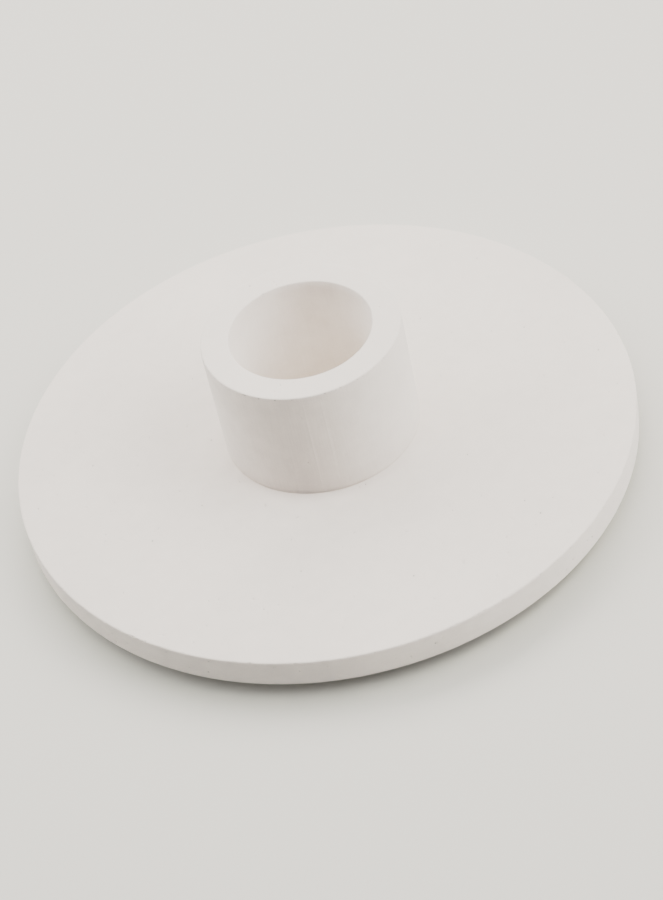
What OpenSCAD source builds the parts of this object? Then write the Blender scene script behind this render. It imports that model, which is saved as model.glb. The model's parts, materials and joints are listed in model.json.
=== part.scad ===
// Plaster drape mold for shallow plates: a thin round plate on a hollow stem.
// It lies on the flat centre of its working face, with the stem standing up.
// Millimetres. The origin is the centre of that flat, and +Z runs up the stem.

/* [Plate] */
// Diameter of the round plate
plate_d = 250; // [220:1:320]
// Height of the plate's upright edge
edge_h = 11.9; // [11:0.1:16]
// Height of the upright edge above the surface that the mold lies on
rim_lift = 7; // [4:0.5:9]
// Diameter of the flat centre of the working face
flat_d = 165; // [120:1:185]
// Round where the upright edge meets the back
back_edge_r = 0.6; // [0.4:0.1:2]
// Round where the upright edge meets the working face
work_edge_r = 0.8; // [0.5:0.1:2]

/* [Stem] */
// Outside diameter of the stem
stem_d = 78.8; // [74:0.2:90]
// Height of the stem's end above the plate's back
stem_h = 50.4; // [30:0.1:90]
// Diameter of the bore
bore_d = 55.3; // [45:0.1:58]
// Round on the outside of the stem's free end
end_r = 0.7; // [0.5:0.1:2]
// Round at the mouth of the bore
mouth_r = 0.7; // [0.3:0.1:2]
// Round at the outside of the stem's foot
foot_r = 0.3; // [0.1:0.1:1]

/* [Seat of the stem in the plate] */
// Depth of the socket in the plate's back
socket_depth = 9; // [7:0.5:9]
// Width of the shoulder where the stem narrows to its spigot
shoulder_w = 5; // [4:0.5:5]
// Chamfer on the end of the spigot
spigot_chamfer = 1; // [0.5:0.1:1.5]
// Thickness of the bonding plaster around and under the spigot
bond_t = 1.2; // [0.8:0.1:2]
// Thickness of the bonding plaster under the shoulder
bed_t = 0.5; // [0.3:0.1:0.8]
// Distance that the bed stops short of the stem's outside
bed_recess = 0.5; // [0.2:0.1:1]

/* [Hidden] */
$fn = 180;

plate_r = plate_d / 2;
flat_r = flat_d / 2;
stem_r = stem_d / 2;
bore_r = bore_d / 2;
spigot_r = stem_r - shoulder_w;
socket_r = spigot_r + bond_t;
bed_r = stem_r - bed_recess;

back_z = rim_lift + edge_h;
stem_top_z = back_z + stem_h;
shoulder_z = back_z + bed_t;
socket_z = back_z - socket_depth;
spigot_z = socket_z + bond_t;

// The working face rises from its flat centre along one arc, tangent to the flat.
curve_w = plate_r - flat_r;
curve_r = (curve_w * curve_w + rim_lift * rim_lift) / (2 * rim_lift);
curve_fn = 720;
// Centres of that arc and of the round where it meets the upright edge
curve_c = [flat_r, curve_r];
work_edge_c = [
    plate_r - work_edge_r,
    curve_r - sqrt(pow(curve_r - work_edge_r, 2) - pow(curve_w - work_edge_r, 2))
];

// How far a cutting shape runs past the surface that it cuts
over = 1;

// Area outside a round of radius r, at a square corner that points along dir
module corner_waste(corner, dir, r) {
    centre = corner - r * dir;
    reach = r + over;
    difference() {
        polygon([
            centre,
            centre + [dir.x * reach, 0],
            centre + dir * reach,
            centre + [0, dir.y * reach]
        ]);
        translate(centre) circle(r);
    }
}

// Area outside the round between the working face and the upright edge
module work_edge_waste() {
    out = (work_edge_c - curve_c) / norm(work_edge_c - curve_c);
    difference() {
        polygon([
            work_edge_c,
            work_edge_c + out * (work_edge_r + over),
            [plate_r + over, -over],
            [plate_r + over, work_edge_c.y]
        ]);
        translate(work_edge_c) circle(work_edge_r);
    }
}

module plate_profile() {
    difference() {
        union() {
            square([flat_r, back_z]);
            intersection() {
                translate(curve_c) circle(curve_r, $fn = curve_fn);
                translate([flat_r, 0]) square([curve_w, back_z]);
            }
        }
        corner_waste([plate_r, back_z], [1, 1], back_edge_r);
        work_edge_waste();
        translate([0, socket_z]) square([socket_r, socket_depth + over]);
    }
}

module stem_profile() {
    difference() {
        union() {
            translate([bore_r, shoulder_z]) square([stem_r - bore_r, stem_top_z - shoulder_z]);
            translate([bore_r, spigot_z]) square([spigot_r - bore_r, shoulder_z - spigot_z]);
        }
        corner_waste([stem_r, stem_top_z], [1, 1], end_r);
        corner_waste([bore_r, stem_top_z], [-1, 1], mouth_r);
        corner_waste([stem_r, shoulder_z], [1, -1], foot_r);
        polygon([
            [spigot_r - spigot_chamfer, spigot_z],
            [spigot_r, spigot_z],
            [spigot_r, spigot_z + spigot_chamfer]
        ]);
    }
}

// Bonding plaster: a floor that closes the bore, a wall around the spigot and a bed under the shoulder
module bond_profile() {
    difference() {
        union() {
            translate([0, socket_z]) square([socket_r, bond_t]);
            translate([bore_r, socket_z]) square([socket_r - bore_r, socket_depth]);
            translate([spigot_r, socket_z]) square([bond_t, socket_depth + bed_t]);
            translate([spigot_r, back_z]) square([bed_r - spigot_r, bed_t]);
        }
        stem_profile();
    }
}

// Round plate: flat back with the stem's socket, upright edge, shallow domed working face
module mold_plate() {
    color([0.88, 0.86, 0.84]) rotate_extrude() plate_profile();
}

// Tube that holds the plate clear of the bench, with a spigot that seats in the plate
module hollow_stem() {
    color([0.90, 0.88, 0.86]) rotate_extrude() stem_profile();
}

// Thin layer of casting plaster that fixes the stem in the plate's socket
module stem_bond() {
    color([0.80, 0.78, 0.75]) rotate_extrude() bond_profile();
}

mold_plate();
hollow_stem();
stem_bond();
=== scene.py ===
"""A plaster drape mold for shallow plates, lying on its working face with its hollow stem up.

Shapes are worked out in millimetres, and scaled to metres when each mesh is made. The places
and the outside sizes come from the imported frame. Angles round the stem are in degrees from the
front (the -Y side), and grow towards +X.
"""

import json
import math
import random

import bmesh
import bpy
import numpy as np
from mathutils import Matrix, Vector, noise
from mathutils.geometry import delaunay_2d_cdt


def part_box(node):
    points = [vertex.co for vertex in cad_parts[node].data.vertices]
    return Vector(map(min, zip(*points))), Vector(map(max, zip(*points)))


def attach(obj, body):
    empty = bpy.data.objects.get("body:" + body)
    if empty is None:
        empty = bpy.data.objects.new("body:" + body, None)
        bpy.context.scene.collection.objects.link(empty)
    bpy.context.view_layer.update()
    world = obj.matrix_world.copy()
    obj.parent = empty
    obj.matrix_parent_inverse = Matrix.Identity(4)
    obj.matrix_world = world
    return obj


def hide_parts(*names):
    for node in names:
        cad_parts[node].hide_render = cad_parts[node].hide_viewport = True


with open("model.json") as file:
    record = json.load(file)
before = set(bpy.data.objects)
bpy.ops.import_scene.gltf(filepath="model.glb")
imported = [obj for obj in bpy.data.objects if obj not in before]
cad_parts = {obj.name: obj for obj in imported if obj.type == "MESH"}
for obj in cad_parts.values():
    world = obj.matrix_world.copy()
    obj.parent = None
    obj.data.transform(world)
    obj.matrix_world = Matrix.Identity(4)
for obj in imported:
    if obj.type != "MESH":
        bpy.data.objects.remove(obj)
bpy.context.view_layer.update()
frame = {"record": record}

MM = 0.001
rng = random.Random(11)


# ---------------------------------------------------------------- sizes, in millimetres

def box_mm(node):
    """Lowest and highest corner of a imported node."""
    low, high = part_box(node)
    return low / MM, high / MM


mount = {m["name"]: m for m in frame["record"]["mounts"]}
_, plate_high = box_mm("mold_plate")
stem_low, stem_high = box_mm("hollow_stem")
bond_low, bond_high = box_mm("stem_bond")

PLATE_R = plate_high.x
BACK_Z = plate_high.z
STEM_R = mount["stem_outside"]["dims"]["r_mm"]
BORE_R = mount["stem_bore"]["dims"]["r_mm"]
STEM_TOP = stem_high.z
SPIGOT_Z = stem_low.z
SOCKET_Z = bond_low.z
SHOULDER_Z = bond_high.z
BED_R = bond_high.x

# Sizes that the frame doesn't state
RIM_LIFT = 7.0
FLAT_R = 82.5
BACK_EDGE_R = 0.6
WORK_EDGE_R = 0.8
# Worn corners of the stem's end: a small round, and an arc that eases it into the wall
END_R, END_TAIL, END_TAIL_R = 0.6, 2.3, 12.0
MOUTH_R, MOUTH_TAIL, MOUTH_TAIL_R = 0.5, 3.2, 7.5
FOOT_R = 0.3
SHOULDER_W = 5.0
SPIGOT_CHAMFER = 1.0

BOND_T = SPIGOT_Z - SOCKET_Z
SPIGOT_R = STEM_R - SHOULDER_W
SOCKET_R = SPIGOT_R + BOND_T

# The working face: a flat centre, then one arc out to the upright edge
CURVE_W = PLATE_R - FLAT_R
CURVE_R = (CURVE_W**2 + RIM_LIFT**2) / (2 * RIM_LIFT)
CURVE_C = (FLAT_R, CURVE_R)

# Flat margin between an edge's round and the open face beside it
MARGIN = 0.4

# Vertices round each ring
RIM_N, FOOT_N, STEM_N, BORE_N = 560, 260, 320, 220

# Distance between vertices on each open face. On the back it starts fine at the stem, and
# grows by BACK_COARSER further out.
BACK_FINE, BACK_COARSER = 0.9, 0.6
DOME_SPACING = 1.9
END_SPACING = 0.9
SPIGOT_SPACING = 1.2
BORE_FLOOR_SPACING = 1.1
BOND_SPACING = 1.5

# Share of that distance that each vertex may stray
JITTER = 0.1

# Closest that a plain vertex may come to a mark
CLEAR = 0.42

# Distance between two rings of vertices, and from the last ring to the edge, as shares of the
# distance between vertices
ROW_GAP = 0.87
EDGE_GAP = 0.55

# The seam where each swept wall closes on itself is at the back
SEAM = math.pi / 2


def angle_of(degrees):
    """Angle about Z, in radians, of a direction given in degrees from the front."""
    return math.radians(degrees - 90)


# ---------------------------------------------------------------- building closed skins

class Profile:
    """A line in the (radius, height) half plane, from straight runs and arcs, with the solid
    on its right. Each run is divided into rows."""

    def __init__(self, r, z):
        self.end = (r, z)
        self.runs = []

    def line(self, r, z, rows):
        (r0, z0), self.end = self.end, (r, z)
        length = math.hypot(r - r0, z - z0)
        dr, dz = (r - r0) / length, (z - z0) / length

        def at(s):
            return r0 + dr * s, z0 + dz * s, np.full_like(s, -dz), np.full_like(s, dr)

        self.runs.append((length, rows, at))
        return self

    def arc(self, centre, radius, start, stop, rows):
        """An outward round, with its angles in degrees from the outward direction."""
        a0, a1 = math.radians(start), math.radians(stop)
        length = radius * abs(a1 - a0)

        def at(s):
            a = a0 + (a1 - a0) * s / length
            c, d = np.cos(a), np.sin(a)
            return centre[0] + radius * c, centre[1] + radius * d, c, d

        self.runs.append((length, rows, at))
        self.end = (centre[0] + radius * math.cos(a1), centre[1] + radius * math.sin(a1))
        return self

    def knots(self):
        """Distance along the profile, and row number, at each run's end."""
        lengths = np.cumsum([0] + [run[0] for run in self.runs])
        rows = np.cumsum([0] + [run[1] for run in self.runs])
        return lengths, rows

    def at(self, s):
        """Radius, height and the two parts of the outward normal at distances s."""
        lengths, _ = self.knots()
        out = np.zeros((4, len(s)))
        for i, (length, _, run) in enumerate(self.runs):
            here = (s >= lengths[i]) if i else np.ones(len(s), bool)
            out[:, here] = run(np.clip(s[here] - lengths[i], 0, length))
        return out


class Skin:
    """The vertices and triangles of one closed piece. Its areas share their rings of vertices.
    relief(x, y, z) is how far the surface stands off its true shape, in millimetres."""

    def __init__(self, relief):
        self.relief = relief
        self.points, self.wear, self.faces = [], [], []

    def add(self, points, normals=None, depths=None, wear=None):
        """Adds points, each pushed in along its normal by its depth. Returns their numbers."""
        first = len(self.points)
        points = np.array(points, float)
        if normals is not None:
            shift = np.array([self.relief(*p) for p in points])
            shift = shift - (0 if depths is None else depths)
            points = points + np.array(normals) * shift[:, None]
        self.points.extend(points.tolist())
        self.wear.extend([0.0] * len(points) if wear is None else list(wear))
        return np.arange(first, len(self.points))

    def ring(self, r, z, count, normal=None):
        """A level ring. With a normal, as (out, up), it takes the relief."""
        a = SEAM + 2 * math.pi * np.arange(count) / count
        c, s = np.cos(a), np.sin(a)
        points = np.column_stack((r * c, r * s, np.full(count, z)))
        if normal is None:
            return self.add(points)
        out, up = normal
        return self.add(points, np.column_stack((out * c, out * s, np.full(count, up))))

    def join(self, a, b):
        """A band of faces between two rings of the same count."""
        c, d = np.roll(a, -1), np.roll(b, -1)
        self.faces.extend(np.column_stack((a, c, d)).tolist())
        self.faces.extend(np.column_stack((a, d, b)).tolist())

    def rings(self, shape, count, first=None, last=None):
        """Bands through level rings at the (radius, height) places in shape."""
        line = [self.ring(r, z, count) for r, z in shape]
        line = ([] if first is None else [first]) + line + ([] if last is None else [last])
        for a, b in zip(line, line[1:]):
            self.join(a, b)
        return line[-1]

    def cap(self, ring):
        """Closes a ring with faces to its centre."""
        middle = self.add([np.mean([self.points[i] for i in ring], axis=0)])[0]
        self.faces.extend((a, b, middle) for a, b in zip(ring, np.roll(ring, -1)))

    def flat(self, inner, outer, spacing, height, up, marks=()):
        """Fills the area between two rings, or inside one, that faces up (1) or down (-1).
        height(r) is its level, and spacing(r) the distance between its vertices."""
        rim = outer if inner is None else np.concatenate((inner, outer))
        edge_xy = np.array([self.points[i][:2] for i in rim])
        loops = [outer] if inner is None else [inner, outer]
        r_in = 0 if inner is None else np.hypot(*self.points[inner[0]][:2])
        r_out = np.hypot(*self.points[outer[0]][:2])
        base = spread_rings(r_in, r_out, spacing)
        spots = np.vstack(marks) if len(marks) else np.zeros((0, 3))
        base = keep_clear(base, spots[:, :2])
        xy = np.vstack((base, spots[:, :2]))
        depths = np.concatenate((np.zeros(len(base)), spots[:, 2]))
        level = height(np.hypot(xy[:, 0], xy[:, 1]))
        normals = np.tile((0, 0, up), (len(xy), 1))
        fresh = self.add(np.column_stack((xy, level)), normals, depths, wear_of(depths))
        number = np.concatenate((rim, fresh))
        edges, start = [], 0
        for loop in loops:
            n = len(loop)
            edges += [(start + i, start + (i + 1) % n) for i in range(n)]
            start += n
        hole = set() if inner is None else set(range(len(inner)))
        self.knit(np.vstack((edge_xy, xy)), edges, number, hole)

    def swept(self, first, last, profile, marks=()):
        """Fills the wall that a profile sweeps between two rings of the same count. Its marks
        are (angle from the front in degrees, distance along the profile, points)."""
        n = len(first)
        lengths, row_at = profile.knots()
        mean_r = np.mean([np.hypot(*self.points[r[0]][:2]) for r in (first, last)])
        step = 2 * math.pi * mean_r / n
        rows = int(row_at[-1])
        span = n * step

        grid, spots = [], []
        for k in range(1, rows):
            shift = 0.5 * (k % 2)
            i = np.arange(0 if k % 2 else 1, n)
            stray = np.array([(rng.uniform(-JITTER, JITTER), rng.uniform(-JITTER, JITTER))
                              for _ in i])
            grid.append(np.column_stack(((i + shift + stray[:, 0]) * step, k + stray[:, 1])))
        for degrees, along, points in marks:
            turn = (angle_of(degrees) - SEAM) % (2 * math.pi)
            row = np.interp(along + points[:, 1], lengths, row_at)
            spots.append(np.column_stack((turn * mean_r + points[:, 0], row, points[:, 2])))
        base = np.vstack(grid)
        spots = np.vstack(spots) if spots else np.zeros((0, 3))

        def along_of(row):
            return np.interp(row, row_at, lengths)

        near = np.column_stack((spots[:, 0], along_of(spots[:, 1])))
        kept = keep_clear(np.column_stack((base[:, 0], along_of(base[:, 1]))), near, mask=True)
        base = base[kept]
        seam = np.column_stack((np.zeros(rows - 1), np.arange(1, rows)))
        inside = np.vstack((seam, base, spots[:, :2]))
        depths = np.concatenate((np.zeros(len(seam) + len(base)), spots[:, 2]))
        r, z, out, up = profile.at(along_of(inside[:, 1]))
        a = SEAM + inside[:, 0] / mean_r
        c, s = np.cos(a), np.sin(a)
        fresh = self.add(np.column_stack((r * c, r * s, z)),
                         np.column_stack((out * c, out * s, up)), depths, wear_of(depths))
        seam_ids = fresh[:rows - 1]

        # The unrolled wall: its two rings and its seam twice, then everything inside
        top = [(i * step, 0) for i in range(n + 1)]
        foot = [(i * step, rows) for i in range(n + 1)]
        left = [(0, k) for k in range(1, rows)]
        right = [(span, k) for k in range(1, rows)]
        flat = np.array(top + foot + left + right)
        flat = np.vstack((flat, inside[len(seam):]))
        flat[:, 1] *= step
        number = np.concatenate((first, first[:1], last, last[:1], seam_ids, seam_ids,
                                 fresh[len(seam):]))
        t0, f0, l0, r0 = 0, n + 1, 2 * n + 2, 2 * n + 1 + rows
        sides = [
            list(range(t0, t0 + n + 1)),
            list(range(f0, f0 + n + 1)),
            [t0] + list(range(l0, l0 + rows - 1)) + [f0],
            [t0 + n] + list(range(r0, r0 + rows - 1)) + [f0 + n],
        ]
        edges = [pair for side in sides for pair in zip(side, side[1:])]
        self.knit(flat, edges, number, set())

    def knit(self, flat, edges, number, hole):
        """Triangulates points in the plane and keeps the faces that aren't in the hole."""
        made = delaunay_2d_cdt([Vector(p) for p in flat], edges, [], 0, 1e-9)
        if len(made[0]) != len(flat):
            raise ValueError("two points of an area coincide")
        for face in made[2]:
            if not hole.issuperset(face):
                self.faces.append([int(number[i]) for i in face])

    def piece(self, name, node, material):
        """Makes the mesh, which rides on the part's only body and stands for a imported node."""
        mesh = bpy.data.meshes.new(name)
        mesh.from_pydata([Vector(p) * MM for p in self.points], [], self.faces)
        # The vertices' painted shade and painted light, with the dirt in the holes, go to the
        # shader as an attribute
        worn = mesh.attributes.new("wear", "FLOAT", "POINT")
        worn.data.foreach_set("value", np.array(self.wear, np.float32))
        shape = bmesh.new()
        shape.from_mesh(mesh)
        if any(len(edge.link_faces) != 2 for edge in shape.edges):
            raise ValueError(f"{name} isn't closed")
        bmesh.ops.recalc_face_normals(shape, faces=shape.faces)
        shape.to_mesh(mesh)
        shape.free()
        mesh.shade_smooth()
        mesh.set_sharp_from_angle(angle=math.radians(70))
        made = bpy.data.objects.new(name, mesh)
        bpy.context.scene.collection.objects.link(made)
        made.data.materials.append(material)
        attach(made, "root")
        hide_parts(node)
        return made


def spread_rings(r_in, r_out, spacing):
    """Points spread evenly between two radii."""
    rows = [] if r_in else [np.zeros((1, 2))]
    r = r_in
    while True:
        step = spacing(r)
        r += ROW_GAP * step
        if r > r_out - EDGE_GAP * step:
            return np.vstack(rows)
        count = max(6, round(2 * math.pi * r / step))
        turn = rng.random()
        a = 2 * math.pi * (np.arange(count) + turn) / count
        row = np.column_stack((r * np.cos(a), r * np.sin(a)))
        stray = np.array([(rng.uniform(-1, 1), rng.uniform(-1, 1)) for _ in a])
        rows.append(row + stray * JITTER * step)


def keep_clear(points, spots, mask=False):
    """The points that aren't too close to any of the spots. With mask, which ones they are."""
    kept = np.ones(len(points), bool)
    for spot in spots:
        near = np.abs(points[:, 0] - spot[0]) < CLEAR
        near[near] = np.hypot(*(points[near] - spot).T) < CLEAR
        kept &= ~near
    return kept if mask else points[kept]


# Holes are darkened from the first depth on the next line, and fully so deeper by the depth on
# the
# line after: painted shade in the holes, with some dirt. Ridges higher than RIDGE_FROM are paler
# than the face around them, by the last share at most.
SHADE_AND_DIRT_FROM, RIDGE_FROM = 0.08, 0.01
SHADE_AND_DIRT_OVER = 0.2
PALEST_RIDGE = 0.15


def wear_of(depths):
    """Painted shade with some dirt: up to 1 in the deeper holes, and below 0, paler, on a ridge.
    """
    depths = np.asarray(depths)
    hole_shade_and_dirt = np.clip((depths - SHADE_AND_DIRT_FROM) / SHADE_AND_DIRT_OVER, 0, 1)
    return hole_shade_and_dirt + np.clip((depths + RIDGE_FROM) / SHADE_AND_DIRT_OVER, -PALEST_RIDGE, 0)


def even(spacing):
    """The same spacing at every radius."""
    return lambda r: spacing


def level(z):
    """The same height at every radius."""
    return lambda r: np.full_like(r, z)


# ---------------------------------------------------------------- marks on the surface

# Clear distance between two marks
MARK_GAP = 0.3

# Marks on a wall keep within this many degrees of the front, clear of its seam at the back
SEAM_SIDE = 172


def turned(rows):
    """A mark's points, turned to a random direction."""
    rows = np.array(rows)
    a = rng.uniform(0, 2 * math.pi)
    c, s = math.cos(a), math.sin(a)
    return np.column_stack((c * rows[:, 0] - s * rows[:, 1], s * rows[:, 0] + c * rows[:, 1],
                            rows[:, 2]))


def pinhole(size, deep=0.9):
    """A ragged hole left by an air bubble. size is its radius."""
    depth = size * deep
    slim = rng.uniform(0.7, 1)
    rows = [(0, 0, depth)]
    for share, down in ((1.4, 0), (1, 0.08), (0.8, 0.5), (0.45, 0.9)):
        count = 9 if share > 0.5 else 6
        for k in range(count):
            a = 2 * math.pi * (k + 0.5 * (share < 1)) / count
            r = size * share * rng.uniform(0.92, 1.08)
            rows.append((r * math.cos(a), r * math.sin(a) * slim, depth * down))
    return turned(rows)


def scratch(length, width, depth):
    """A shallow groove that fades at both ends and bends a little."""
    bend = rng.uniform(-0.1, 0.1) * length
    steps = max(4, round(length / 0.5))
    rows = [(-length / 2, 0, 0), (length / 2, 0, 0)]
    for k in range(1, steps):
        t = k / steps
        fade = math.sin(math.pi * t) ** 0.5
        across = bend * 4 * t * (1 - t)
        for side, down in ((-1, 0), (0, 1), (1, 0)):
            y = across + side * width / 2 * rng.uniform(0.8, 1.2)
            rows.append(((t - 0.5) * length, y, down * fade * depth))
    return turned(rows)


def lengthwise_line(length, width, height):
    """A faint raised line, straight down a wall."""
    steps = round(length / 0.9)
    rows = []
    for k in range(steps + 1):
        t = k / steps
        fade = math.sin(math.pi * t) ** 0.3 * rng.uniform(0.6, 1)
        stray = rng.uniform(-0.04, 0.04)
        for side, lift in ((-1, 0), (0, 1), (1, 0)):
            rows.append((stray + side * width / 2, (t - 0.5) * length, -lift * fade * height))
    return np.array(rows)


def any_pinhole(deep=0.9):
    """Most holes are tiny, and a few are larger."""
    return pinhole(min(0.42, 0.16 * math.exp(abs(rng.gauss(0, 0.42)))), deep)


def tiny_pinhole():
    return pinhole(rng.uniform(0.14, 0.22))


def shallow_pinhole():
    """A shallower hole, for the working face."""
    return any_pinhole(0.6)


def chip():
    """A tiny break in a sharp edge."""
    return pinhole(rng.uniform(0.2, 0.36), rng.uniform(0.5, 0.8))


def short_scratch():
    return scratch(rng.uniform(2, 6), 0.25, 0.08)


def nick(length):
    """A short blunt dent, left by a tool or a fingernail."""
    rows = [(0, 0, 0.17)]
    for share, down in ((1, 0), (0.75, 0.08), (0.45, 0.14)):
        for k in range(9):
            a = 2 * math.pi * (k + 0.5 * (share < 1)) / 9
            r = length / 2 * share * rng.uniform(0.85, 1.15)
            rows.append((r * math.cos(a), r * math.sin(a) * 0.45, down))
    return turned(rows)


def small_nick():
    return nick(rng.uniform(0.9, 2))


def placed(mark, degrees, r, taken):
    """A mark at a chosen place on a level face."""
    a = angle_of(degrees)
    x, y = r * math.cos(a), r * math.sin(a)
    taken.append((x, y, np.hypot(mark[:, 0], mark[:, 1]).max()))
    return mark + (x, y, 0)


def paint_light_and_shade(skin, degrees, width, painted_shade, share):
    """Paints shade on the vertices round one direction, over a width in degrees, by share(r, z)
    of the strength given. Below 0 it paints light instead, which makes them paler."""
    for i, (x, y, z) in enumerate(skin.points):
        off = (math.degrees(math.atan2(y, x)) + 90 - degrees + 180) % 360 - 180
        here = share(math.hypot(x, y), z) * math.exp(-((off / width) ** 2))
        skin.wear[i] += painted_shade * here * (1 + 0.25 * swell(x, y, z, 14, 13))


def on_disc(count, r_in, r_out, make, taken):
    """Marks at random places on a level face, clear of each other and of those taken."""
    made = []
    while len(made) < count:
        r = math.sqrt(rng.uniform(r_in**2, r_out**2))
        a = rng.uniform(0, 2 * math.pi)
        x, y = r * math.cos(a), r * math.sin(a)
        mark = make()
        reach = np.hypot(mark[:, 0], mark[:, 1]).max()
        if r - reach < r_in or r + reach > r_out:
            continue
        if any(math.hypot(x - u, y - v) < reach + w + MARK_GAP for u, v, w in taken):
            continue
        taken.append((x, y, reach))
        made.append(mark + (x, y, 0))
    return made


def on_wall(count, radius, low, high, make, taken):
    """Marks at random places on a wall, between two distances along its profile."""
    made = []
    while len(made) < count:
        degrees, along = rng.uniform(-SEAM_SIDE, SEAM_SIDE), rng.uniform(low, high)
        mark = make()
        reach = np.hypot(mark[:, 0], mark[:, 1]).max()
        x = math.radians(degrees) * radius
        if any(math.hypot(x - u, along - v) < reach + w + MARK_GAP for u, v, w in taken):
            continue
        taken.append((x, along, reach))
        made.append((degrees, along, mark))
    return made


# ---------------------------------------------------------------- the three pieces

def swell(x, y, z, size, seed):
    """Smooth noise, about -1 to 1, that changes over size millimetres."""
    return noise.noise(Vector((x + 31 * seed, y - 17 * seed, z)) / size)


def ramp(value, low, high):
    """0 at low, 1 at high, and smooth between."""
    t = min(1, max(0, (value - low) / (high - low)))
    return t * t * (3 - 2 * t)


def plate_relief(x, y, z):
    """The back is struck off by hand, and is rougher where the joint was cleaned up."""
    r = math.hypot(x, y)
    if z < 0.5 * RIM_LIFT:
        return 0.02 * swell(x, y, z, 30, 1) * ramp(r, FLAT_R - 5, FLAT_R + 5)
    away = ramp(r, STEM_R - 1, STEM_R + 2)
    broad = 0.07 * swell(x, y, z, 60, 2) + 0.025 * swell(x, y, z, 16, 3)
    smear = 0.03 * swell(x, y, z, 3.5, 4) * (1 - ramp(r, STEM_R + 1, STEM_R + 8))
    nick = 0.03 * swell(x, y, z, 4, 5) * ramp(r, PLATE_R - 1.5, PLATE_R - 0.5)
    return away * (broad + smear) + nick


def stem_relief(x, y, z):
    """A hand-scraped tube: a little out of round, with softly worn ends."""
    broad = 0.05 * swell(x, y, z * 0.4, 34, 6)
    scraped = 0.02 * swell(x, y, z * 0.12, 5, 7)
    worn = 0.03 * swell(x, y, z, 3, 8) * ramp(z, STEM_TOP - 2, STEM_TOP - 0.5)
    seated = ramp(z, SHOULDER_Z, SHOULDER_Z + 3)
    return seated * (broad + scraped) + worn


def work_edge():
    """Centre of the round under the upright edge, and the angle where it meets the dome."""
    r = PLATE_R - WORK_EDGE_R
    z = CURVE_R - math.sqrt((CURVE_R - WORK_EDGE_R) ** 2 - (CURVE_W - WORK_EDGE_R) ** 2)
    return (r, z), math.degrees(math.atan2(z - CURVE_C[1], r - CURVE_C[0]))


def dome_height(r):
    """Level of the working face at a radius."""
    out = np.maximum(r - FLAT_R, 0)
    return CURVE_R - np.sqrt(CURVE_R**2 - out**2)


def rim_profile():
    """From the back, over the upright edge, to the working face."""
    low_c, meet = work_edge()
    last = meet - math.degrees(MARGIN / CURVE_R)
    return (Profile(PLATE_R - BACK_EDGE_R - MARGIN, BACK_Z)
            .line(PLATE_R - BACK_EDGE_R, BACK_Z, 1)
            .arc((PLATE_R - BACK_EDGE_R, BACK_Z - BACK_EDGE_R), BACK_EDGE_R, 90, 0, 6)
            .line(PLATE_R, low_c[1], 8)
            .arc(low_c, WORK_EDGE_R, 0, meet, 5)
            .arc(CURVE_C, CURVE_R, meet, last, 1))


# The marks that show most on the back: degrees from the front, distance from the middle, and
# radius or length. Their places were worked out from the photograph.
BACK_PITS = [(-85, 118, 0.4), (-60, 86, 0.45), (-70, 98, 0.3), (-35, 99, 0.3), (-22, 99, 0.35),
             (-15, 80, 0.35), (12, 95, 0.4), (32, 76, 0.3), (48, 105, 0.3), (112, 82, 0.35),
             (-133, 66, 0.35), (144, 114, 0.3), (15, 41.3, 0.3)]
BACK_NICKS = [(23, 100, 3.4), (34, 102, 2.6), (41, 80, 2.4), (17, 73, 2.2), (-37, 48, 3.4),
              (-20, 52, 3.0), (2, 64, 2.2)]

# How many marks are scattered on each face
BACK_SCRATCHES, BACK_SMALL_NICKS, BACK_PINHOLES = 8, 26, 170
RIM_PINHOLES, RIM_CHIPS, DOME_PINHOLES = 90, 130, 40
WALL_PINHOLES, END_CHIPS, END_PINHOLES, BORE_PINHOLES = 26, 44, 14, 22

# Broad painted shade and painted light: direction and width in degrees, and strength, which is
# below 0 where light is painted
# Painted shade on the back, in the corner round the stem's foot, strongest towards the front
PAINTED_SHADE_BY_STEM = (5, 45, 0.24)
# Painted shade down the front-left of the stem's wall
PAINTED_SHADE_ON_STEM = (-12, 34, 0.13)
# Painted light down the right side of the stem's wall
PAINTED_LIGHT_ON_STEM = (65, 34, -0.1)
# Painted light in the bore, strongest at its back
PAINTED_LIGHT_IN_BORE = (180, 300, -0.045)
# Painted light at the foot of the stem's wall, towards the front, against the shade in the
# corner
PAINTED_LIGHT_AT_FOOT = (0, 120, -0.12)


def back_spacing(r):
    """Finer by the stem, where the joint was cleaned up."""
    return BACK_FINE + BACK_COARSER * ramp(r, 46, 60)


def beside_stem(r, z):
    """1 on the back at the stem's foot, and 0 from 6 mm away."""
    return (z > BACK_Z - 0.5) * (1 - ramp(r, STEM_R, STEM_R + 6))


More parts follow.
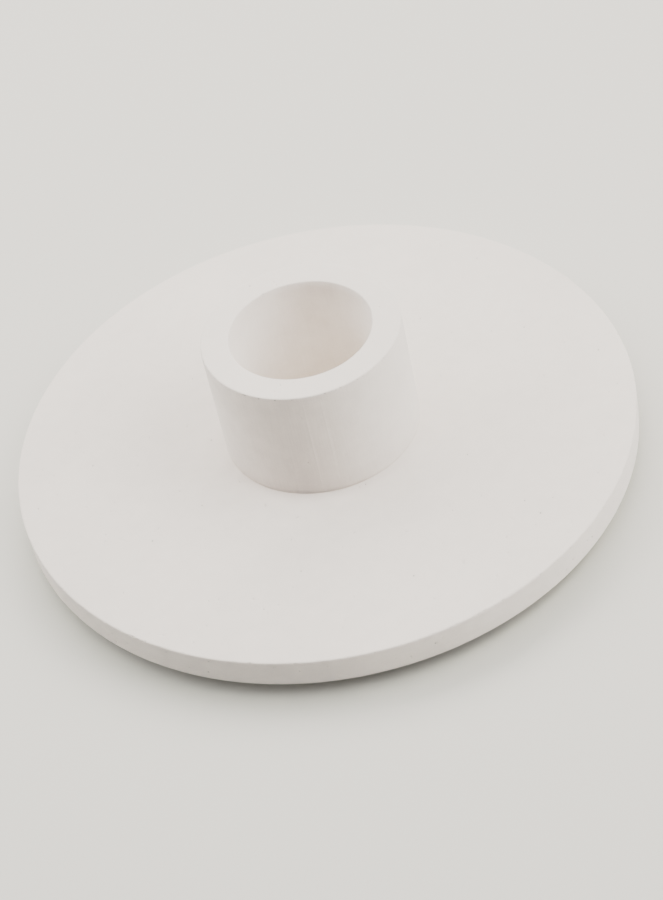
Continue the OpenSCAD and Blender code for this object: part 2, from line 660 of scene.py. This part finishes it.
def make_plate(material):
    skin = Skin(plate_relief)
    rim = rim_profile()
    start = skin.ring(PLATE_R - BACK_EDGE_R - MARGIN, BACK_Z, RIM_N, (0, 1))
    low_r, low_z = rim.end
    stop = skin.ring(low_r, low_z, RIM_N, (0, -1))
    mouth = skin.ring(SOCKET_R, BACK_Z, FOOT_N)

    taken = []
    back = STEM_R + 1.5, PLATE_R - 2.5
    marks = [placed(pinhole(size), degrees, r, taken) for degrees, r, size in BACK_PITS]
    marks += [placed(nick(length), degrees, r, taken) for degrees, r, length in BACK_NICKS]
    marks += on_disc(BACK_SCRATCHES, *back, short_scratch, taken)
    marks += on_disc(BACK_SMALL_NICKS, *back, small_nick, taken)
    marks += on_disc(BACK_PINHOLES, *back, any_pinhole, taken)
    skin.flat(mouth, start, back_spacing, level(BACK_Z), 1, marks)

    band = 1.5 + MARGIN, 10 + MARGIN
    edge_marks = on_wall(RIM_PINHOLES, PLATE_R, *band, any_pinhole, [])
    edge_marks += on_wall(RIM_CHIPS, PLATE_R, MARGIN + 0.3, MARGIN + 0.8, chip, [])
    skin.swept(start, stop, rim, edge_marks)

    under = on_disc(DOME_PINHOLES, 2, PLATE_R - 3, shallow_pinhole, [])
    skin.flat(None, stop, even(DOME_SPACING), dome_height, -1, under)

    floor = skin.rings([(SOCKET_R, SOCKET_Z)], FOOT_N, first=mouth)
    skin.cap(floor)
    # Painted shade on the back round the stem's foot
    paint_light_and_shade(skin, *PAINTED_SHADE_BY_STEM, beside_stem)
    return skin.piece("plate_casting", "mold_plate", material)


def worn_corner(edge_r, side, round_r, tail, tail_r):
    """A corner of the stem's end: a small round, then a long arc that eases into the wall over
    the tail's height. side is 1 outside and -1 in the bore. Returns both centres, and the angle
    between the wall's normal and the normal where they meet."""
    meet = math.asin((tail - round_r) / (tail_r - round_r))
    long_c = (edge_r - side * tail_r, STEM_TOP - tail)
    short_c = (long_c[0] + side * (tail_r - round_r) * math.cos(meet), STEM_TOP - round_r)
    return short_c, long_c, math.degrees(meet)


def on_stem_wall(r, z):
    """1 on the stem's outer wall, and less towards its foot."""
    return (r > STEM_R - 1) * (z < STEM_TOP) * (0.4 + 0.6 * ramp(z, SHOULDER_Z, SHOULDER_Z + 14))


def at_stem_foot(r, z):
    """1 at the foot of the stem's outside, and 0 from 3 mm up."""
    return (r > SPIGOT_R) * (1 - ramp(z, BACK_Z, BACK_Z + 3))


def stem_wall_marks(top):
    """The outer wall's marks. top is where the wall starts along its profile."""
    lines = [(-8, 24, 0.065), (2, 24, 0.055)]
    marks = [(deg, top + mid, lengthwise_line(44, 0.5, high)) for deg, mid, high in lines]
    marks.append((-13, top + 33, pinhole(0.34, 0.62)))
    taken = [(math.radians(deg) * STEM_R, top + s, 1) for deg, _, _ in lines for s in range(50)]
    marks += on_wall(WALL_PINHOLES, STEM_R, top + 2, top + 46, tiny_pinhole, taken)
    return marks + on_wall(END_CHIPS, STEM_R, top - 0.3, top + 0.4, chip, [])


def make_stem(material):
    skin = Skin(stem_relief)
    out_c, out_long_c, out_meet = worn_corner(STEM_R, 1, END_R, END_TAIL, END_TAIL_R)
    in_c, in_long_c, in_meet = worn_corner(BORE_R, -1, MOUTH_R, MOUTH_TAIL, MOUTH_TAIL_R)
    wall = (Profile(out_c[0] - MARGIN, STEM_TOP)
            .line(out_c[0], STEM_TOP, 1)
            .arc(out_c, END_R, 90, out_meet, 6)
            .arc(out_long_c, END_TAIL_R, out_meet, 0, 6)
            .line(STEM_R, SHOULDER_Z + FOOT_R, 52)
            .arc((STEM_R - FOOT_R, SHOULDER_Z + FOOT_R), FOOT_R, 0, -90, 3)
            .line(STEM_R - FOOT_R - MARGIN, SHOULDER_Z, 1))
    bore = (Profile(BORE_R, SPIGOT_Z)
            .line(BORE_R, STEM_TOP - MOUTH_TAIL, 56)
            .arc(in_long_c, MOUTH_TAIL_R, 180, 180 - in_meet, 7)
            .arc(in_c, MOUTH_R, 180 - in_meet, 90, 5)
            .line(in_c[0] + MARGIN, STEM_TOP, 1))

    end_out = skin.ring(out_c[0] - MARGIN, STEM_TOP, STEM_N, (0, 1))
    foot = skin.ring(STEM_R - FOOT_R - MARGIN, SHOULDER_Z, STEM_N)
    spigot = skin.rings([(SPIGOT_R, SHOULDER_Z), (SPIGOT_R, SPIGOT_Z + SPIGOT_CHAMFER),
                         (SPIGOT_R - SPIGOT_CHAMFER, SPIGOT_Z)], STEM_N, first=foot)
    bore_low = skin.ring(BORE_R, SPIGOT_Z, BORE_N)
    end_in = skin.ring(in_c[0] + MARGIN, STEM_TOP, BORE_N, (0, 1))

    skin.swept(end_out, foot, wall, stem_wall_marks(wall.knots()[0][2]))

    end_marks = on_disc(END_PINHOLES, BORE_R + 2, STEM_R - 2.5, any_pinhole, [])
    skin.flat(end_in, end_out, even(END_SPACING), level(STEM_TOP), 1, end_marks)
    mouth = bore.knots()[0][2] + MOUTH_R / 2
    bore_marks = [(-157, mouth, pinhole(0.45, 0.5))]
    bore_marks += on_wall(BORE_PINHOLES, BORE_R, 10, 54, tiny_pinhole, [])
    skin.swept(bore_low, end_in, bore, bore_marks)
    skin.flat(bore_low, spigot, even(SPIGOT_SPACING), level(SPIGOT_Z), -1)
    # Painted shade and painted light on the stem's wall, in its bore and at its foot
    paint_light_and_shade(skin, *PAINTED_SHADE_ON_STEM, on_stem_wall)
    paint_light_and_shade(skin, *PAINTED_LIGHT_ON_STEM, on_stem_wall)
    paint_light_and_shade(skin, *PAINTED_LIGHT_IN_BORE, lambda r, z: (r < in_c[0]) * (z < STEM_TOP))
    paint_light_and_shade(skin, *PAINTED_LIGHT_AT_FOOT, at_stem_foot)
    return skin.piece("stem_casting", "hollow_stem", material)


# Bead of plaster squeezed up round the bore's floor
BEAD_HEIGHT, BEAD_WIDTH = 0.9, 1.1

# How far the bed is squeezed out past its packed outside, and how much that varies
SQUEEZED, SQUEEZED_MORE = 0.48, 0.12


def bond_relief(x, y, z):
    """Only the floor of the bore shows: hand-smoothed, with a bead squeezed up at its edge."""
    r = math.hypot(x, y)
    if abs(z - SPIGOT_Z) > 0.01 or r > BORE_R:
        return 0
    bead = BEAD_HEIGHT * math.exp(-(((BORE_R - r) / BEAD_WIDTH) ** 2))
    return bead * (0.65 + 0.5 * swell(x, y, z, 7, 9)) + 0.12 * swell(x, y, z, 9, 10)


def make_bond(material):
    skin = Skin(bond_relief)
    floor_edge = skin.ring(BORE_R - 0.05, SPIGOT_Z, BORE_N, (0, 1))
    skin.flat(None, floor_edge, even(BORE_FLOOR_SPACING), level(SPIGOT_Z), 1)
    tucked = skin.ring(BORE_R, SPIGOT_Z, BORE_N)
    skin.join(floor_edge, tucked)
    wall = skin.ring(SPIGOT_R - SPIGOT_CHAMFER, SPIGOT_Z, FOOT_N)
    skin.flat(tucked, wall, even(BOND_SPACING), level(SPIGOT_Z), 1)
    inside = skin.rings([(SPIGOT_R, SPIGOT_Z + SPIGOT_CHAMFER), (SPIGOT_R, SHOULDER_Z)], FOOT_N,
                        first=wall)
    bed = [squeezed_ring(skin, z) for z in np.linspace(SHOULDER_Z, BACK_Z, 4)]
    for a, b in zip([inside] + bed, bed):
        skin.join(a, b)
    outside = skin.rings([(SOCKET_R, BACK_Z), (SOCKET_R, SOCKET_Z)], FOOT_N, first=bed[-1])
    skin.cap(outside)
    return skin.piece("stem_bond_fill", "stem_bond", material)


def squeezed_ring(skin, z):
    """The bed's outside: plaster squeezed out unevenly, almost to the stem's outside."""
    ring = skin.ring(BED_R, z, FOOT_N)
    for i in ring:
        x, y, _ = skin.points[i]
        grow = 1 + (SQUEEZED + SQUEEZED_MORE * swell(x, y, z, 8, 12)) / BED_R
        skin.points[i][0:2] = x * grow, y * grow
    return ring


# ---------------------------------------------------------------- materials

def node(tree, kind, inputs=(), **settings):
    """A shader node. Each input is a plain value or another node's output."""
    made = tree.nodes.new(kind)
    for name, value in settings.items():
        setattr(made, name, value)
    for key, value in dict(inputs).items():
        if isinstance(value, bpy.types.NodeSocket):
            tree.links.new(value, made.inputs[key])
        else:
            made.inputs[key].default_value = value
    return made


def maths(tree, operation, a, b=0.0):
    return node(tree, "ShaderNodeMath", {0: a, 1: b}, operation=operation).outputs[0]


def grain(tree, where, size_mm, detail=2.0):
    """Noise about 0, from -0.5 to 0.5, whose pattern is size_mm across."""
    made = node(tree, "ShaderNodeTexNoise", {"Vector": where, "Scale": 1 / (size_mm * MM),
                                             "Detail": detail, "Roughness": 0.55})
    return maths(tree, "SUBTRACT", made.outputs["Fac"], 0.5)


PLASTER_COLOUR = (0.95, 0.905, 0.87)
BOND_COLOUR = (0.92, 0.875, 0.835)

# The plaster's patterns: how many millimetres across, and how much each changes its tone
CLOUD_MM, CLOUD_TONE = 38, 0.12
BLOTCH_MM, BLOTCH_TONE = 6, 0.08
SPECK_MM, SPECK_TONE = 0.35, 0.08
STREAK_MM, STREAK_TONE = 0.7, 0.06
LUMP_MM = 1.6
# Painted light: how much paler the stem's end face is painted
LIT_TOP_TONE = 0.04
# How much the vertices' painted shade and painted light, and the dirt in the holes, change the
# tone
PAINTED_LIGHT_AND_DIRT_TONE = 0.4

# Their relief in millimetres, and how matt the surface is
SPECK_RELIEF, LUMP_RELIEF, STREAK_RELIEF = 0.006, 0.012, 0.035
ROUGHNESS, ROUGHNESS_SPREAD = 0.88, 0.15

# Streaks are drawn out down the stem
DRAWN_OUT = (1, 1, 0.05)


def plaster(name, colour, streaks=0.0, lit_top_from=1.0):
    """Dry cast plaster: matt, chalky, faintly mottled, with fine grain. Above a height in
    metres, painted light makes it paler."""
    material = bpy.data.materials.new(name)
    material.use_nodes = True
    tree = material.node_tree
    tree.nodes.clear()
    where = node(tree, "ShaderNodeTexCoord").outputs["Object"]
    drawn = node(tree, "ShaderNodeVectorMath", {0: where, 1: DRAWN_OUT}, operation="MULTIPLY")

    cloud = grain(tree, where, CLOUD_MM)
    blotch = grain(tree, where, BLOTCH_MM)
    speck = grain(tree, where, SPECK_MM, 1)
    streak = grain(tree, drawn.outputs[0], STREAK_MM, 3)
    # Painted shade and painted light from the vertices, with the dirt in the holes, darken or
    # lighten the colour
    worn = node(tree, "ShaderNodeAttribute", attribute_name="wear").outputs["Fac"]

    light = maths(tree, "MULTIPLY", cloud, CLOUD_TONE)
    light = maths(tree, "ADD", light, maths(tree, "MULTIPLY", blotch, BLOTCH_TONE))
    light = maths(tree, "ADD", light, maths(tree, "MULTIPLY", speck, SPECK_TONE))
    light = maths(tree, "ADD", light, maths(tree, "MULTIPLY", streak, STREAK_TONE * streaks))
    # Painted light: above the given height the colour is painted paler
    height = node(tree, "ShaderNodeSeparateXYZ", {0: where}).outputs["Z"]
    scraped = maths(tree, "GREATER_THAN", height, lit_top_from)
    light = maths(tree, "ADD", light, maths(tree, "MULTIPLY", scraped, LIT_TOP_TONE))
    light = maths(tree, "SUBTRACT", light, maths(tree, "MULTIPLY", worn, PAINTED_LIGHT_AND_DIRT_TONE))
    shade = maths(tree, "ADD", light, 1.0)
    base = node(tree, "ShaderNodeVectorMath", {0: colour, "Scale": shade}, operation="SCALE")

    rough = maths(tree, "ADD", ROUGHNESS, maths(tree, "MULTIPLY", blotch, ROUGHNESS_SPREAD))
    relief = maths(tree, "ADD", maths(tree, "MULTIPLY", speck, SPECK_RELIEF),
                   maths(tree, "MULTIPLY", grain(tree, where, LUMP_MM), LUMP_RELIEF))
    relief = maths(tree, "ADD", relief, maths(tree, "MULTIPLY", streak, STREAK_RELIEF * streaks))
    bump = node(tree, "ShaderNodeBump", {"Height": relief, "Distance": MM, "Strength": 1.0})
    surface = node(tree, "ShaderNodeBsdfPrincipled", {
        "Base Color": base.outputs[0], "Roughness": rough, "Diffuse Roughness": 0.6,
        "Specular IOR Level": 0.25, "Normal": bump.outputs[0]})
    out = node(tree, "ShaderNodeOutputMaterial")
    tree.links.new(surface.outputs[0], out.inputs["Surface"])
    return material


# ---------------------------------------------------------------- floor, light and camera

FLOOR_COLOUR = (0.715, 0.712, 0.678)
FLOOR_HALF = 20.0

# How bright the camera sees the backdrop. Seen by the camera, the floor fades into it between
# these distances from the middle.
WORLD_SEEN = 0.92
FLOOR_LIT = 0.4
FLOOR_FAR = 1.1

# The soft boxes stand this far from the origin
LIGHT_DISTANCE = 1.2

# Name, direction from the front, elevation, width, height and power of each soft box. The
# powers come from a fit to the photograph's tones.
SOFT_LIGHTS = [
    ("overhead", 0, 90, 1.2, 1.2, 2.2),
    ("front", 0, 60, 1.4, 0.5, 3.6),
    ("right", 80, 38, 1.0, 1.0, 10.4),
    ("back_right", 150, 40, 0.9, 0.6, 2.2),
    ("back", 185, 54, 1.2, 0.6, 6.3),
    ("low_back", 210, 27, 1.8, 0.5, 3.1),
    ("back_left", 245, 38, 0.8, 0.6, 3.3),
    ("left", 265, 42, 1.0, 0.9, 2.8),
]

# The camera's response: scene light turns into picture light along a curve that is straight
# at first, and rolls off softly at its knee towards a slightly warm paper white
KNEE = 0.72
ROLL_OFF = 0.47
STEEPNESS = 12
PAPER_WHITE = (1.0, 0.979, 0.954)
BRIGHTEST = 4.0
RESPONSE_STEP = 0.05
RESPONSE_STEPS = range(3, 18)

CAMERA_LENS = 90.4
CAMERA_ELEVATION = 43.2
CAMERA_ROLL = 13.4
CAMERA_DISTANCE = 0.904
# Where the middle of the plate's back lies, in metres to the right of and above the picture's
# centre
CAMERA_AIM = (-0.0036, 0.0108)
# The camera focuses on the stem's end, with a real lens's depth of field
CAMERA_F_STOP = 16


def floor_material():
    """A plain pale table. Far off, the camera sees it at the backdrop's tone."""
    material = bpy.data.materials.new("pale_floor")
    material.use_nodes = True
    tree = material.node_tree
    surface = tree.nodes["Principled BSDF"]
    surface.inputs["Base Color"].default_value = (*FLOOR_COLOUR, 1)
    surface.inputs["Roughness"].default_value = 0.8
    surface.inputs["Specular IOR Level"].default_value = 0.2
    place = node(tree, "ShaderNodeNewGeometry").outputs["Position"]
    away = node(tree, "ShaderNodeVectorMath", {0: place}, operation="LENGTH").outputs["Value"]
    far = node(tree, "ShaderNodeMapRange", {"Value": away, "From Min": FLOOR_LIT,
                                            "From Max": FLOOR_FAR},
               interpolation_type="SMOOTHSTEP")
    seen = node(tree, "ShaderNodeLightPath").outputs["Is Camera Ray"]
    glow = node(tree, "ShaderNodeEmission", {"Strength": WORLD_SEEN})
    share = maths(tree, "MULTIPLY", seen, far.outputs[0])
    mixed = node(tree, "ShaderNodeMixShader", {0: share, 1: surface.outputs[0],
                                               2: glow.outputs[0]})
    tree.links.new(mixed.outputs[0], tree.nodes["Material Output"].inputs["Surface"])
    return material


def make_floor():
    mesh = bpy.data.meshes.new("floor")
    h = FLOOR_HALF
    mesh.from_pydata([(-h, -h, 0), (h, -h, 0), (h, h, 0), (-h, h, 0)], [], [(0, 1, 2, 3)])
    floor = bpy.data.objects.new("floor", mesh)
    bpy.context.scene.collection.objects.link(floor)
    mesh.materials.append(floor_material())


def make_world():
    """The camera sees a pale backdrop, which lights nothing."""
    world = bpy.data.worlds.new("studio")
    bpy.context.scene.world = world
    world.use_nodes = True
    tree = world.node_tree
    seen = node(tree, "ShaderNodeLightPath").outputs["Is Camera Ray"]
    glow = maths(tree, "MULTIPLY", seen, WORLD_SEEN)
    backdrop = tree.nodes["Background"]
    backdrop.inputs["Color"].default_value = (1, 1, 1, 1)
    tree.links.new(glow, backdrop.inputs["Strength"])


def set_response():
    """Sets the view's curves to the camera's response."""
    view = bpy.context.scene.view_settings
    view.view_transform = "Standard"
    view.use_curve_mapping = True
    view.curve_mapping.white_level = (BRIGHTEST, BRIGHTEST, BRIGHTEST)
    for curve, white in zip(view.curve_mapping.curves, PAPER_WHITE):
        low, high = curve.points
        low.location = (0, 0)
        for k in RESPONSE_STEPS:
            seen = RESPONSE_STEP * k
            light = seen + ROLL_OFF * (seen / KNEE) ** STEEPNESS
            if white * light < BRIGHTEST:
                curve.points.new(white * light / BRIGHTEST, white * seen)
                last = (1, white * seen)
        high.location = last
    view.curve_mapping.update()


def soft_light(name, degrees, elevation, width, height, power):
    """A soft box that faces the mold, in metres and watts, from a direction in degrees."""
    lamp = bpy.data.lights.new(name, "AREA")
    lamp.shape = "RECTANGLE"
    lamp.size, lamp.size_y = width, height
    lamp.energy = power
    made = bpy.data.objects.new(name, lamp)
    bpy.context.scene.collection.objects.link(made)
    a, e = angle_of(degrees), math.radians(elevation)
    way = Vector((math.cos(a) * math.cos(e), math.sin(a) * math.cos(e), math.sin(e)))
    made.location = way * LIGHT_DISTANCE
    made.rotation_mode = "QUATERNION"
    made.rotation_quaternion = way.to_track_quat("Z", "Y")


def make_camera():
    data = bpy.data.cameras.new("camera")
    data.lens = CAMERA_LENS
    data.clip_start, data.clip_end = 0.05, 100
    focus = bpy.data.objects.new("focus", None)
    focus.location.z = STEM_TOP * MM
    bpy.context.scene.collection.objects.link(focus)
    data.dof.use_dof = True
    data.dof.focus_object = focus
    data.dof.aperture_fstop = CAMERA_F_STOP
    camera = bpy.data.objects.new("camera", data)
    bpy.context.scene.collection.objects.link(camera)
    e, roll = math.radians(CAMERA_ELEVATION), math.radians(CAMERA_ROLL)
    back = Vector((0, -math.cos(e), math.sin(e)))
    level, rise = Vector((1, 0, 0)), Vector((0, math.sin(e), math.cos(e)))
    right = math.cos(roll) * level - math.sin(roll) * rise
    up = math.sin(roll) * level + math.cos(roll) * rise
    middle = Vector((0, 0, BACK_Z * MM))
    place = middle + back * CAMERA_DISTANCE - right * CAMERA_AIM[0] - up * CAMERA_AIM[1]
    turn = Matrix((right, up, back)).transposed().to_4x4()
    camera.matrix_world = Matrix.Translation(place) @ turn
    bpy.context.scene.camera = camera


set_response()
make_plate(plaster("plate_plaster", PLASTER_COLOUR))
# The stem's end face gets painted light, paler than the rest
make_stem(plaster("stem_plaster", PLASTER_COLOUR, 1.0, (STEM_TOP - 0.3) * MM))
make_bond(plaster("bond_plaster", BOND_COLOUR))
make_floor()
make_world()
for light in SOFT_LIGHTS:
    soft_light(*light)
make_camera()
